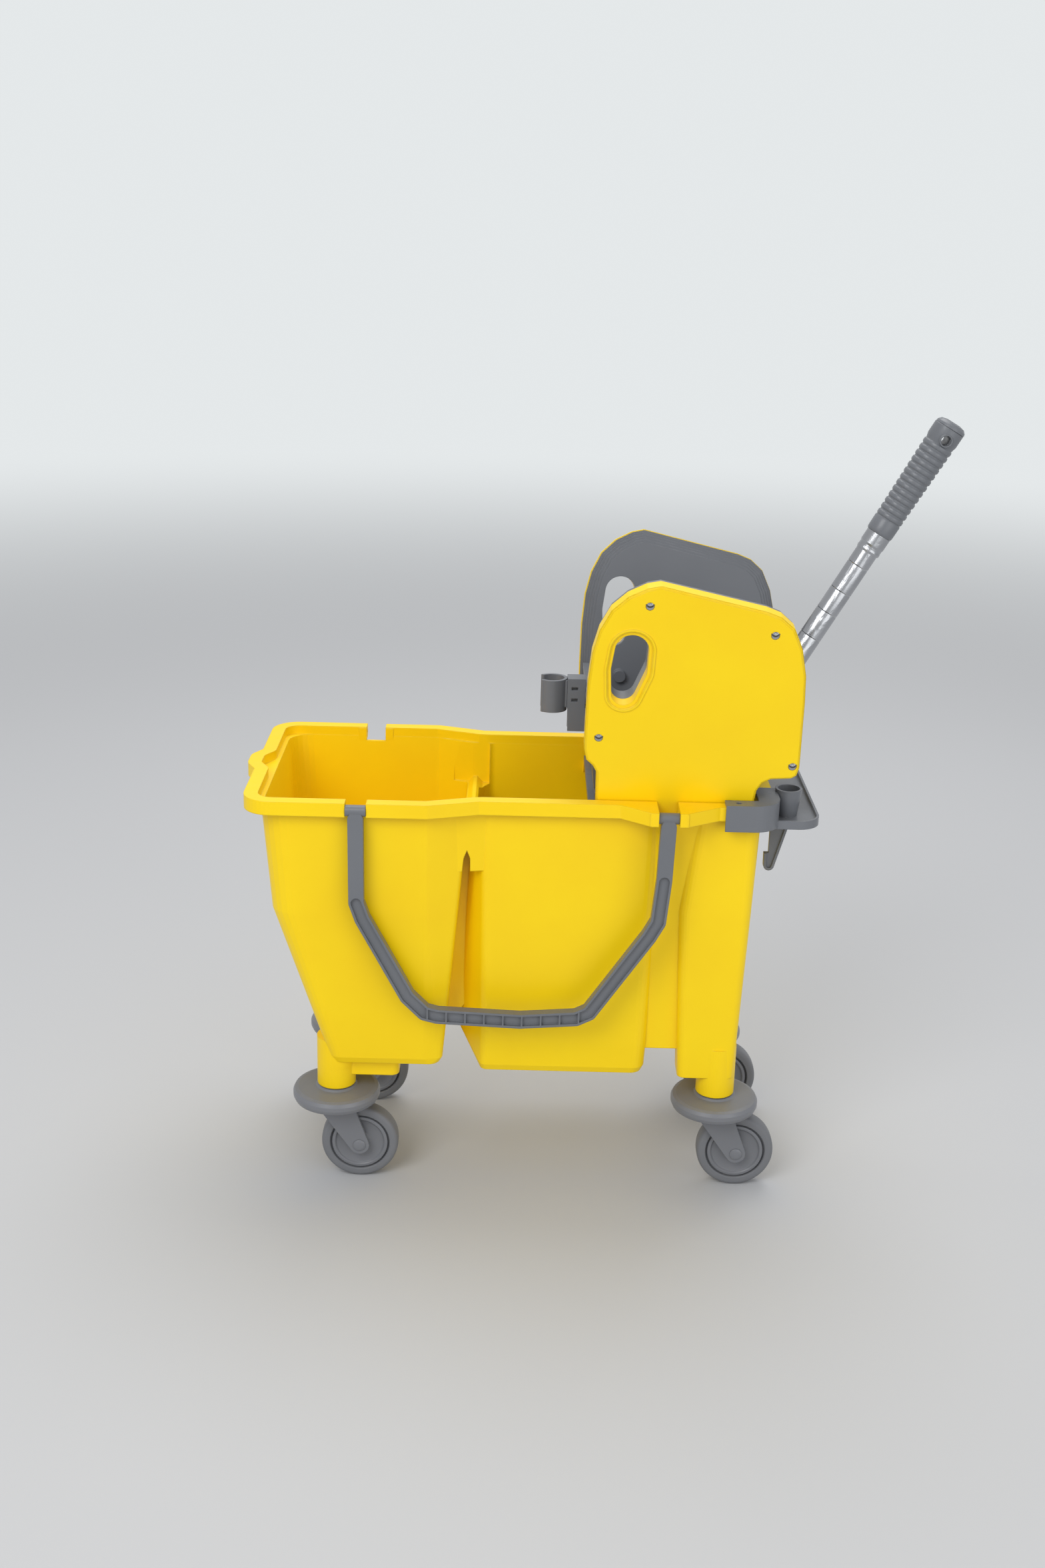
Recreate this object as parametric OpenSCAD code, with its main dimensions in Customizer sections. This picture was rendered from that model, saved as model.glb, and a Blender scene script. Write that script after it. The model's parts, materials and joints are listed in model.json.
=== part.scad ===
// Two-well mop bucket on four swivel casters with a lever press wringer.
// Millimetres. X runs along the bucket with the wringer at +X, the bail is on -Y, Z is up, floor at z = 0.
// The outline is centred on x = 0 and y = 0. Everything is drawn at rest: lever up, press plate back, bail hanging.

/* [Bucket] */
// Height of the rim top above the floor
rim_z = 402; // [380:1:420]
// Half width of the rim along the front well
rim_front_hw = 124; // [118:0.5:128]
// Half width of the rim along the rear well
rim_rear_hw = 109; // [104:0.5:114]
// Outer end of the rim at the front, before the spout
rim_front_x = -317; // [-322:0.5:-312]
// Outer end of the rim at the rear
rim_rear_x = 168; // [160:0.5:172]
// How far the pouring spout stands out
spout_out = 9; // [4:0.5:12]
// Flat width of the rim
rim_w = 13; // [10:0.5:16]
// Depth of the skirt under the rim top
skirt_h = 13; // [10:0.5:16]
// Wall of the moulding
wall = 3; // [2.4:0.1:4]
// Underside of the front well
front_well_z = 127; // [118:1:135]
// Underside of the rear well
rear_well_z = 119; // [112:1:130]
// Top of the divider between the wells
ridge_z = 357; // [350:1:362]
// Post diameter
post_d = 37; // [34:0.5:40]

/* [Bail] */
// Height of the bail axis
bail_z = 394.5; // [390:0.5:396]
// Distance of the bail axis from the centre plane
bail_y = 120.5; // [119:0.5:122]
// Front bail barrel
bail_x1 = -213.5; // [-218:0.5:-208]
// Rear bail barrel
bail_x2 = 68; // [62:0.5:72]
// Bail pin diameter
bail_pin_d = 5; // [4:0.5:6]

/* [Casters] */
// Wheel diameter
wheel_d = 75; // [70:1:80]
// Wheel width
wheel_w = 19; // [16:0.5:22]
// Swivel offset from stem to axle
trail = 23; // [18:0.5:27]
// Bumper disc diameter
disc_d = 84; // [78:1:90]
// Front stems
caster_x1 = -237; // [-242:0.5:-232]
// Rear stems
caster_x2 = 130.5; // [125:0.5:135]
// Stem distance from the centre plane
caster_y = 76; // [70:0.5:82]
// Underside of the posts
post_z = 100; // [97:0.5:104]
// Underside of the bumper disc
disc_z = 82.5; // [81:0.5:84]
// Stem diameter
stem_d = 11; // [10:0.5:12]

/* [Wringer] */
// Distance of the cover face from the centre plane at the rim
cover_y0 = 94.5; // [92:0.5:95]
// Outward lean of the side housings
lean = 10.2; // [6:0.2:11]
// Thickness of a side housing
housing_t = 30; // [28:0.5:31]
// Underside of the wringer base frame
base_z = 378; // [374:1:382]

/* [Lever and gears] */
// Cross shaft position along the bucket
shaft_x = 150; // [148:0.5:152]
// Cross shaft height
shaft_z = 445; // [443:0.5:447]
// Cross shaft diameter
shaft_d = 16; // [14:0.5:18]
// Lever tube diameter
tube_d = 21; // [18:0.5:22]
// Angle of the lever above level at rest
lever_up = 60.4; // [58:0.2:62]
// Outer end of the grip
reach_x = 326; // [320:0.5:330]
// Gear module
gm = 2.5; // [2:0.25:3]
// Teeth a full sector gear would have
z_sector = 40; // [36:1:42]
// Idler teeth
z_idler = 14; // [13:1:16]
// Direction from the shaft to the idler
idler_dir = 130; // [126:1:134]

/* [Hidden] */
$fn = 48;
r_sec = gm*z_sector/2;
r_idl = gm*z_idler/2;
idl_x = shaft_x + (r_sec + r_idl)*cos(idler_dir);
idl_z = shaft_z + (r_sec + r_idl)*sin(idler_dir);
rack_pz = idl_z + r_idl;
grip_r = 14.6;             // largest grip radius
gear_y = 90.5;             // inner face of the gear plane
gear_t = 6;
clip_x = -38;              // axis of the mop clip
rw = wheel_d/2;
half_w = wheel_w/2;
overall_hw = 129;          // half width over the rear bail blocks
fit_gap = 0.1;             // added to a bore so that its pin runs free
fp_top = 484;              // top of the front plate
yel = [0.95, 0.80, 0.09];
gry = [0.43, 0.44, 0.46];
dgr = [0.30, 0.31, 0.33];
stl = [0.75, 0.76, 0.78];

function inv(a) = tan(a)*180/PI - a;      // involute, degrees

// ---------- small helpers
module cyl_y(d, y0, y1) translate([0, y0, 0]) rotate([-90, 0, 0]) cylinder(d = d, h = y1 - y0);
module cyl_x(d, x0, x1) translate([x0, 0, 0]) rotate([0, 90, 0]) cylinder(d = d, h = x1 - x0);
module mirror_y() { children(); mirror([0, 1, 0]) children(); }
// thin rounded rectangle x0..x1, half width hw, at height z
module lvl(x0, x1, hw, z, r) translate([0, 0, z]) linear_extrude(0.5)
  hull() for (x = [x0 + r, x1 - r], y = [-hw + r, hw - r]) translate([x, y]) circle(r, $fn = 24);

// ---------- bucket
// plan of the rim, pulled in by o from its outer edge
module rim_plan(o = 0) offset(delta = -o) offset(r = 5, $fn = 32) offset(r = -5, $fn = 32) union() {
  pair_hull(rim_front_x + 27, rim_front_hw, 27, -150, rim_front_hw, 6);
  pair_hull(-150, rim_front_hw, 6, -104, rim_rear_hw, 6);
  pair_hull(-104, rim_rear_hw, 6, rim_rear_x - 22, rim_rear_hw, 22);
  pair_hull(rim_front_x - spout_out + 20, 28, 20, rim_front_x + 30, 64, 20);
}
// hull of four circles, mirrored about the centre plane: x, outer half width and radius at each end
module pair_hull(xa, ha, ra, xb, hb, rb) hull() for (s = [-1, 1]) {
  translate([xa, s*(ha - ra)]) circle(ra, $fn = 40);
  translate([xb, s*(hb - rb)]) circle(rb, $fn = 40);
}
// the rim swells out to the bail axis at the rear notch
module rear_blocks_plan() for (s = [-1, 1]) hull() {
  for (x = [-15, 15]) translate([bail_x2 + x, s*(overall_hw - 3)]) circle(3);
  for (x = [-42, 46]) translate([bail_x2 + x, s*(rim_rear_hw - 3)]) circle(3);
}
// level of the front well: its rear corners are drawn in to half width hwr
module front_level(x0, x1, hw, hwr, z, r) translate([0, 0, z]) linear_extrude(0.5) hull() for (s = [-1, 1]) {
  translate([x0 + r, s*(hw - r)]) circle(r, $fn = 24);
  translate([-152, s*(hw - 10)]) circle(10, $fn = 24);
  translate([x1 - 6, s*(hwr - 6)]) circle(6, $fn = 24);
}
// level of the rear well: its front narrows to a nose, cut back by cut at the corners
module rear_level(x0, x1, hw, nose, cut, z, r) translate([0, 0, z]) linear_extrude(0.5) hull() for (s = [-1, 1]) {
  translate([x1 - r, s*(hw - r)]) circle(r, $fn = 24);
  translate([x0 + cut + 7, s*(hw - 7)]) circle(7, $fn = 24);
  translate([x0 + 8, s*(nose - 8)]) circle(8, $fn = 24);
}
// each well is a hull of levels; e shrinks it to make the cavity
module front_well(e = 0) hull() {
  lvl(-234 + e, -143 - e, 89 - e, front_well_z + e, 8);
  lvl(-240.4 + e, -136.6 - e, 95.4 - e, front_well_z + 2.6 + e, 11);
  front_level(-243 + e, -134 - e, 98 - e, 95.5 - e, front_well_z + 9 + e, 12);
  front_level(-294 + e, -121 - e, 109 - e, 100 - e, 288, 22 - e);
  front_level(-303 + e, -112 - e, 114 - e, 101 - e, rim_z - 6, 25 - e);
}
module rear_well(e = 0) hull() {
  rear_level(-93 + e, 51 - e, 81 - e, 60, 2, rear_well_z + e, 8);
  rear_level(-101 + e, 57.4 - e, 87.4 - e, 66, 3, rear_well_z + 2.6 + e, 11);
  rear_level(-106.5 + e, 60 - e, 90 - e, 64 - e, 7, rear_well_z + 9 + e, 12);
  rear_level(-120 + e, 61 - e, 92 - e, 60 - e, 22, 154, 12);
  rear_level(-108 + e, 66 - e, 99 - e, 84 - e, 6, rim_z - 6, 14 - e);
}
// shallow part behind the rear well, over the casters
module rear_web(e = 0) hull() {
  lvl(30, 143 - e, 82 - e, 146 + e, 14 - e);
  lvl(30, 150 - e, 86 - e, 300, 16 - e);
  lvl(30, 156 - e, 98 - e, rim_z - 6, 20 - e);
}
// corner column down to each rear post
module column(e = 0) mirror_y() hull() {
  corner_level(92 + e, 146 - e, 92 - e, 56 + e, rear_well_z + 1 + e, 7);
  corner_level(84 + e, 152 - e, 98 - e, 66 + e, 292, 10);
  corner_level(92 + e, 156 - e, 98.6 - e, 66 + e, rim_z - 6, 14);
}
module corner_level(x0, x1, outer, inner, z, r) translate([0, 0, z]) linear_extrude(0.5) hull()
  for (x = [x0 + r, x1 - r], y = [-outer + r, -inner - r]) translate([x, y]) circle(r, $fn = 24);
// plan that joins the wells above their gap; e shrinks it
module join_plan(e = 0) polygon([[-134, -105.6 + e], [-114, -100.6 + e], [-96, -98.6 + e],
  [-96, 98.6 - e], [-114, 100.6 - e], [-134, 105.6 - e]]);
// the gap between the wells closes upwards in a narrow arch
module well_gap() rotate([90, 0, 0]) translate([0, 0, -150]) linear_extrude(300)
  polygon([[-119.6, 310], [-116.6, ridge_z - 14], [-113.5, ridge_z - 6], [-110.5, ridge_z - 14], [-110, 310]]);
module join_block() difference() {
  hull() {
    translate([0, 0, 330]) linear_extrude(0.5) join_plan(3.2);
    translate([0, 0, rim_z - 6.5]) linear_extrude(0.5) join_plan();
  }
  well_gap();
}
// thin walls that close the gap a little way in from each side
module gap_webs() mirror_y() translate([0, -61, 0]) rotate([90, 0, 0]) linear_extrude(wall)
  polygon([[-131, 176], [-122, 168], [-114, 180], [-107, 352], [-117, 352]]);
module bucket_cavity() {
  front_well(wall);
  rear_well(wall);
  rear_web(wall);
  column(wall);
  // the divider stops below the rim and has a bevelled ridge
  intersection() {
    translate([0, 0, ridge_z - 6]) linear_extrude(60) join_plan(wall);
    rotate([90, 0, 0]) translate([0, 0, -150]) linear_extrude(300)
      polygon([[-133, 420], [-133, ridge_z - 6], [-118, ridge_z - 6], [-113, ridge_z],
        [-109.5, ridge_z], [-104, ridge_z - 6], [-97, ridge_z - 6], [-97, 420]]);
  }
  translate([0, 0, rim_z - 9]) linear_extrude(20) rim_plan(rim_w);
}
module rim_band() translate([0, 0, rim_z - skirt_h]) linear_extrude(skirt_h) union() {
  rim_plan();
  rear_blocks_plan();
}
// hollow under the rim, between its skirt and its inner edge
module rim_channel() translate([0, 0, rim_z - skirt_h - 1]) linear_extrude(skirt_h + 1 - wall) difference() {
  rim_plan(wall);
  rim_plan(rim_w - wall);
}
module foot_pad() translate([0, 0, 112]) linear_extrude(22) hull()
  for (x = [-226, -184], s = [-1, 1]) translate([x, s*78]) circle(8);
// ledge that carries the wringer base
module ledge() translate([0, -97, base_z - 16]) rotate([90, 0, 90]) linear_extrude(44)
  polygon([[0, 0], [11, 16], [0, 16]]);
// solid blocks beside a bail notch, to take the pin
module pin_blocks(x, outer, depth) for (s = [-1, 1])
  translate([x + s*13.5 - 4, -outer + 0.4, rim_z - skirt_h]) cube([8, depth, skirt_h - 1]);
module post(x) translate([x, -caster_y, post_z]) cylinder(d = post_d, h = 50);
// the front posts are faired into the sloping end
module fairing() hull() {
  translate([caster_x1, -caster_y, 120]) cylinder(d = post_d, h = 20);
  translate([caster_x1 + 9, -caster_y, 149]) cylinder(d = post_d - 5, h = 7);
}
module bucket() color(yel) difference() {
  union() {
    difference() {
      union() {
        front_well();
        rear_well();
        join_block();
        gap_webs();
        rear_web();
        column();
        rim_band();
        foot_pad();
      }
      bucket_cavity();
      rim_channel();
    }
    mirror_y() {
      translate([-2, 0, 0]) ledge();
      translate([98, 0, 0]) ledge();
      pin_blocks(bail_x1, rim_front_hw, 13);
      pin_blocks(bail_x2, overall_hw, 24);
      post(caster_x1);
      post(caster_x2);
      fairing();
    }
  }
  // bail notches and pin holes
  mirror_y() for (x = [bail_x1, bail_x2]) {
    translate([x - 9.5, -135, bail_z - 6.5]) cube([19, 50, 30]);
    translate([x, -bail_y, bail_z]) cyl_x(bail_pin_d + fit_gap, -14, 14);
  }
  // seats of the caster bushes
  mirror_y() for (x = [caster_x1, caster_x2]) translate([x, -caster_y, post_z - 1]) cylinder(d = 20 + fit_gap, h = 46);
}
module bail_pins() color(stl) for (x = [bail_x1, bail_x2]) translate([x, -bail_y, bail_z]) cyl_x(bail_pin_d, -13.5, 13.5);
module caster_bush() difference() {
  cylinder(d = 20, h = 44.8);
  translate([0, 0, -1]) cylinder(d = stem_d + fit_gap, h = 42);
}
module caster_bushes() color(dgr) for (s = [-1, 1], x = [caster_x1, caster_x2])
  translate([x, s*caster_y, post_z]) caster_bush();

// ---------- bail
// line of the bail, below its axis
bail_path = [[bail_x1, -7], [bail_x1 + 0.5, -88], [bail_x1 + 6, -104], [-166, -181], [-150, -197], [-138, -200],
  [-61, -203], [-9, -199], [3, -193], [55, -115], [bail_x2 - 5, -100], [bail_x2 - 1.5, -60], [bail_x2, -7]];
module along_bail(i0, i1, r) for (i = [i0:i1]) hull() {
  translate(bail_path[i]) circle(r, $fn = 24);
  translate(bail_path[i + 1]) circle(r, $fn = 24);
}
module bail() color(gry) translate([0, -bail_y, bail_z]) difference() {
  union() {
    rotate([90, 0, 0]) translate([0, 0, -4.8]) linear_extrude(9.6) along_bail(0, len(bail_path) - 2, 7);
    for (x = [bail_x1, bail_x2]) translate([x, 0, 0]) cyl_x(10.4, -9.3, 9.3);
  }
  // the channel is hollow towards the outside, with ribs left across the bottom
  difference() {
    rotate([90, 0, 0]) translate([0, 0, 1.4]) linear_extrude(10) along_bail(1, len(bail_path) - 3, 4.8);
    for (i = [0:8]) translate([-148 + i*17.6, -20, -215]) cube([1.6, 40, 30]);
  }
  for (x = [bail_x1, bail_x2]) translate([x, 0, 0]) cyl_x(bail_pin_d + 0.16, -10, 10);
}

// ---------- casters
module stem() color(stl) {
  translate([0, 0, 82]) cylinder(d = stem_d, h = 56);
  translate([0, 0, 136]) cylinder(d1 = stem_d, d2 = 8, h = 3);
}
module bumper_disc() rotate_extrude($fn = 72)
  polygon([[0, disc_z], [disc_d/2 - 5, disc_z], [disc_d/2 - 1.6, disc_z + 1.4], [disc_d/2, disc_z + 5],
    [disc_d/2, disc_z + 9], [disc_d/2 - 1.6, disc_z + 12.2], [disc_d/2 - 5, disc_z + 13.4],
    [20, disc_z + 14.4], [18, disc_z + 16], [14, post_z - 0.6], [0, post_z - 0.6]]);
module fork_leg() rotate([90, 0, 0]) linear_extrude(4) hull() {
  translate([trail, rw]) circle(9.5, $fn = 32);
  translate([-17, disc_z + 4]) circle(5, $fn = 24);
  translate([10, disc_z + 4]) circle(5, $fn = 24);
}
module yoke() color(gry) difference() {
  union() {
    bumper_disc();
    for (y = [-11.2, 15.2]) translate([0, y, 0]) fork_leg();
  }
  translate([0, 0, 60]) cylinder(d = stem_d, h = 50);
  translate([trail, 0, rw]) cyl_y(8, -30, 30);
  // room for the wheel below the disc
  translate([trail, 0, rw]) cyl_y(wheel_d + 8, -half_w - 1.6, half_w + 1.6);
}
module axle() color(stl) translate([trail, 0, rw]) {
  cyl_y(8, -15.2, 15.2);
  cyl_y(12.5, 15.2, 17);
  cyl_y(12.5, -17, -15.2);
}
// half of a turned outline, mirrored to both faces of the wheel
function both(p) = concat(p, [for (i = [len(p) - 1:-1:0]) [p[i][0], -p[i][1]]]);
module turned_y(p) rotate([90, 0, 0]) rotate_extrude($fn = 96) polygon(p);
module hub() color(gry) translate([trail, 0, rw]) turned_y(both([[4.06, -half_w], [9, -half_w], [10, -half_w + 1.4],
  [24.5, -half_w + 1.4], [25.5, -half_w + 0.4], [28, -half_w + 0.4]]));
module tyre() color(dgr) translate([trail, 0, rw]) turned_y(both([[28, -half_w + 1], [29, -half_w], [rw - 3, -half_w],
  [rw - 0.8, -half_w + 1], [rw, -half_w + 3.4]]));
FN = [caster_x1, -caster_y, 0];
FF = [caster_x1, caster_y, 0];
RN = [caster_x2, -caster_y, 0];
RF = [caster_x2, caster_y, 0];

// ---------- wringer side housings, drawn upright at the cover face then leaned out
module leaned() translate([0, -cover_y0, 400]) rotate([lean, 0, 0]) children();
// slab from depth a to depth b behind the cover face
module slab(a, b) rotate([90, 0, 0]) translate([0, 0, -b]) linear_extrude(b - a) children();
k = 1/cos(lean);
function w(z) = (z - 400)*k;
outline = [[2.5, base_z + 6.2], [1.6, 429], [-2, 435.5], [-8, 441], [-10.5, 452], [-10.4, 478], [-9.7, 516], [-7, 545],
  [-1.5, 566.5], [8, 585], [22, 598], [38, 606], [50, 608.5], [143, 587.5], [156, 582.5], [168, 572], [176.6, 553],
  [182, 528], [183.5, 503], [185, 438], [183, 430], [178, 427], [160, 425.8], [153, 422], [148.5, 414], [147.4, 405],
  [147.4, base_z + 6.2]];
module cover_plan(o = 0) offset(r = 3 + o, $fn = 24) offset(delta = -3) polygon([for (p = outline) [p[0], w(p[1])]]);
// the hand hole is a leaning egg shape
module oval(d) offset(delta = d) hull() {
  translate([27.8, w(548)]) circle(15, $fn = 48);
  translate([26.3, w(530)]) circle(16, $fn = 48);
  translate([22.6, w(507)]) circle(11, $fn = 48);
}
screws = [[41, 590], [151, 566], [2.5, 464], [178, 440]];
module at_screws() for (p = screws) leaned() translate([p[0], 0, w(p[1])]) children();
module cover_n() difference() {
  union() {
    leaned() difference() {
      union() {
        slab(0, 0.8) cover_plan(-2.2);
        slab(0.8, 2) cover_plan(-1);
        slab(2, 3) cover_plan(-0.4);
        slab(2, 14) difference() {
          cover_plan(-0.4);
          cover_plan(-3.2);
        }
        slab(0, 14) oval(3);
        slab(-0.8, 0.5) difference() {
          oval(6);
          oval(4);
        }
      }
      slab(-5, 20) oval(0);
      slab(-5, 1.4) oval(3);
    }
    at_screws() slab(0.5, 14) circle(5);
  }
  at_screws() slab(-1, 15) circle(2.1);
  at_screws() slab(-1, 1.6) circle(3.7);
}
module cover_near() color(yel) cover_n();
module cover_far() color(yel) mirror([0, 1, 0]) cover_n();
module shell_n() difference() {
  union() {
    leaned() difference() {
      union() {
        slab(14.1, 19) difference() {
          cover_plan(-1.2);
          cover_plan(-4.2);
        }
        slab(18, 22) difference() {
          cover_plan(-2.6);
          cover_plan(-6);
        }
        slab(21, 24.6) difference() {
          cover_plan(-4.6);
          cover_plan(-8.4);
        }
        slab(24, 27) difference() {
          cover_plan(-7.2);
          cover_plan(-11);
        }
        slab(27, 28.6) cover_plan(-9.6);
        slab(28.6, 30) cover_plan(-12.4);
        slab(14.1, 30) oval(3);
      }
      slab(10, 40) oval(0);
    }
    at_screws() slab(14.1, 24) circle(5);
    // bosses for the shaft bush and the idler pin, and one beside the hand hole
    translate([shaft_x, 0, shaft_z]) cyl_y(30, -87, -70);
    translate([idl_x, 0, idl_z]) cyl_y(16, -89.6, -82);
    translate([29, 0, 473]) cyl_y(12, -80, -70);
    // land that carries the front tie rod
    leaned() slab(22, 29) translate([6, w(446)]) circle(8);
  }
  at_screws() slab(10, 22) circle(1.9);
  translate([shaft_x, 0, shaft_z]) cyl_y(22 + fit_gap, -90, -60);
  translate([idl_x, 0, idl_z]) cyl_y(8 + fit_gap, -100, -83);
  for (p = rods) translate([p[0], 0, p[1]]) cyl_y(9 + fit_gap, -100, -60);
  // slot the carriage lug runs in
  translate([74, -100, rack_pz + 1.2]) cube([58, 40, 12]);
}
module shell_near() color(gry) shell_n();
module shell_far() color(gry) mirror([0, 1, 0]) shell_n();
module cover_screws() color(stl) mirror_y() at_screws() {
  slab(0.2, 1.6) circle(3.4);
  slab(1.5, 21.5) circle(1.85);
}

// base frame: an open grid standing on the ledges
module wringer_base() color(dgr) difference() {
  translate([-2, -91, base_z]) cube([148, 182, 6]);
  for (i = [0:5], j = [-2:2]) translate([9 + i*18, j*24 - 9, base_z - 1]) cube([12, 18, 8]);
  translate([122, -60, base_z - 1]) cube([16, 120, 8]);
}
// chamber half width at height z
function yin(z) = cover_y0 + (z - 400)*tan(lean) - housing_t*k;
// outline of the chamber between two heights, less a gap g, drawn across the bucket
module chamber(z0, z1, g) rotate([90, 0, 90]) translate([0, 0, -60]) linear_extrude(200)
  polygon([[-yin(z0) + g, z0], [yin(z0) - g, z0], [yin(z1) - g, z1], [-yin(z1) + g, z1]]);
// plate leaning from the base frame up to the clip
module fp(x, th, m) rotate([90, 0, 0]) translate([0, 0, -m]) linear_extrude(2*m)
  polygon([[x, base_z + 6], [x + th, base_z + 6], [x + th - 11, fp_top], [x - 11, fp_top]]);
module front_plate() color(gry) intersection() {
  difference() {
    union() {
      fp(4, 4, 95);
      translate([-6.8, -95, fp_top - 5]) cube([8, 190, 5]);
    }
    for (i = [0:5], j = [-3:3]) translate([-30, j*19 + (i % 2)*9 - 4, base_z + 22 + i*13])
      rotate([0, 90, 0]) cylinder(d = 8, h = 60, $fn = 24);
    // groove for the front tie rod
    translate([rods[0][0], 0, rods[0][1]]) cyl_y(9 + 2*fit_gap, -99, 99);
  }
  chamber(base_z + 6.2, 520, 0.2);
}
// two slotted cheeks behind the clip, with legs down the front plate
module clip_bracket() color(gry) difference() {
  union() {
    translate([clip_x + 14.1, -9, 462]) cube([17, 18, 29]);
    for (y = [-9, 6]) translate([clip_x + 15, y, 440]) cube([18, 3, 23]);
  }
  for (z = [469, 480]) translate([clip_x + 18, -20, z]) cube([6, 40, 3]);
  for (z = rivet_z) translate([0, 0, z]) cyl_x(4 + fit_gap, clip_x, 0);
  fp(3.98, 60, 60);
  translate([-6.82, -60, fp_top - 5.02]) cube([60, 120, 20]);
}
rivet_z = [474.5, 486.5];
// springy C-clip that opens to the front and holds a mop handle upright
module mop_clip() color(gry) translate([clip_x, 0, 459]) difference() {
  union() {
    difference() {
      cylinder(d = 28, h = 31, $fn = 64);
      translate([0, 0, -1]) cylinder(d = 22, h = 34, $fn = 64);
      translate([-30, -9, -1]) cube([22.5, 18, 34]);
    }
    for (s = [-1, 1]) translate([-8.6, s*9.6, 0]) cylinder(d = 3.4, h = 31, $fn = 24);
    translate([11, -7.5, 4]) cube([3, 15, 26]);
  }
  for (z = rivet_z) translate([0, 0, z - 459]) rotate([0, 90, 0]) {
    cylinder(d = 4 + fit_gap, h = 30);
    cylinder(d = 6.5 + fit_gap, h = 12.4);
  }
}
module clip_rivets() color(stl) for (z = rivet_z) translate([clip_x, 0, z]) {
  cyl_x(6.5, 11.2, 12.4);
  cyl_x(4, 12.4, 17.4);
}
rods = [[4, 446], [136, 530]];
module tie_rods() color(stl) for (p = rods) translate([p[0], 0, p[1]]) cyl_y(9, -yin(p[1]) - 2, yin(p[1]) + 2);
module shaft_bush() difference() {
  union() {
    cyl_y(22, 70, 87);
    cyl_y(28, 67.5, 70);
  }
  cyl_y(shaft_d + fit_gap, 60, 99);
}
module shaft_bushes() color(dgr) mirror_y() translate([shaft_x, 0, shaft_z]) shaft_bush();
module idler_pins() color(stl) mirror_y() translate([idl_x, 0, idl_z]) {
  cyl_y(8, 83.2, 97.4);
  cyl_y(12, 96.9, 99);
}
module rack_guides() color(dgr) mirror_y() translate([58, -97, rack_pz + 10.6]) cube([100, 6.1, 6]);
module return_spring() color(stl) for (i = [0:4]) translate([shaft_x, 27 + i*4.2, shaft_z])
  rotate([90, 0, 0]) rotate_extrude($fn = 40) translate([11.6, 0]) circle(1.3, $fn = 16);

// ---------- gears
tip = 0.85*gm;               // tooth height above and below the pitch line
root = 1.15*gm;
play = 0.22;                 // taken off the tooth thickness
// half the angle of a tooth at radius r
function half_tooth(z, r) = let (rp = gm*z/2, rb = rp*cos(20))
  90/z - play/2/rp*180/PI + inv(20) - (r > rb ? inv(acos(rb/r)) : 0);
// outline of one tooth of a gear with z teeth, centred at angle c
function tooth(z, c) = let (rp = gm*z/2, rb = rp*cos(20), ra = rp + tip, rf = rp - root, low = max(rb, rf) + 0.02)
  [for (s = [-1, 1]) for (q = (s < 0 ? [0:6] : [6:-1:0])) let (r = q == 0 ? rf : low + (ra - low)*(q - 1)/5)
    r*[cos(c + s*half_tooth(z, r)), sin(c + s*half_tooth(z, r))]];
module sector2d() union() {
  difference() {
    polygon(concat([[0, 0]], [for (i = [-1:7]) each tooth(z_sector, idler_dir + i*360/z_sector)]));
    circle(30);
  }
  intersection() {
    circle(31);
    polygon([[0, 0], for (a = [-14, 12, 40, 74]) 60*[cos(idler_dir + a), sin(idler_dir + a)]]);
  }
  circle(15);
}
module sectors() color(gry) mirror_y() translate([shaft_x, -gear_y, shaft_z]) rotate([90, 0, 0]) difference() {
  linear_extrude(gear_t) sector2d();
  translate([0, 0, -1]) cylinder(d = shaft_d, h = 20);
}
idl_a0 = idler_dir + 180 + 180/z_idler;
module idler() translate([idl_x, -gear_y, idl_z]) rotate([90, 0, 0]) difference() {
  linear_extrude(gear_t) polygon([for (i = [0:z_idler - 1]) each tooth(z_idler, idl_a0 + i*360/z_idler)]);
  translate([0, 0, -1]) cylinder(d = 8.12, h = 20);
}
module idler_near() color(gry) idler();
module idler_far() color(gry) mirror([0, 1, 0]) idler();
// offset of the nearest idler tooth from straight up, carried into the rack
eps = let (d = 360/z_idler, a = (90 - idl_a0)/d) (round(a) - a)*d;
px = PI*gm;
rx0 = idl_x - r_idl*eps*PI/180 + px/2;
function rack_tooth(c) = let (h = px/4 - play/2, tg = tan(20))
  [[c - h - root*tg, root], [c - h + tip*tg, -tip], [c + h - tip*tg, -tip], [c + h + root*tg, root]];
module rack() {
  translate([0, -gear_y - 0.3, rack_pz]) rotate([90, 0, 0]) linear_extrude(gear_t - 0.6)
    polygon(concat([for (i = [-1:5]) each rack_tooth(rx0 + i*px)], [[158, root], [158, 10.2], [84, 10.2], [84, root]]));
  translate([117.2, -gear_y - 1, rack_pz + 3]) cube([9, 14, 7]);
  difference() {
    translate([117.2, -gear_y + 7.2, rack_pz - 4]) cube([5, 10.8, 14]);
    translate([0, -78.5, rack_pz - 0.9]) cyl_x(4 + fit_gap, 110, 130);
  }
}
module racks() color(gry) mirror_y() rack();
module press_plate() color(gry) difference() {
  intersection() {
    union() {
      translate([111, -100, base_z + 12]) cube([6, 200, 145]);
      for (z = [30, 62, 94, 124]) translate([116.5, -100, base_z + z]) cube([7, 200, 3.2]);
    }
    chamber(base_z + 12, 536, 2);
  }
  for (i = [0:5], j = [-3:3]) translate([100, j*17 + (i % 2)*8 - 4, base_z + 22 + i*16])
    rotate([0, 90, 0]) cylinder(d = 8, h = 30, $fn = 24);
  // seats of the rack tabs
  mirror_y() translate([117, -gear_y + 5, rack_pz - 6]) cube([12, 16, 18]);
  mirror_y() translate([0, -78.5, rack_pz - 0.9]) cyl_x(4 + fit_gap, 100, 140);
}
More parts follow.
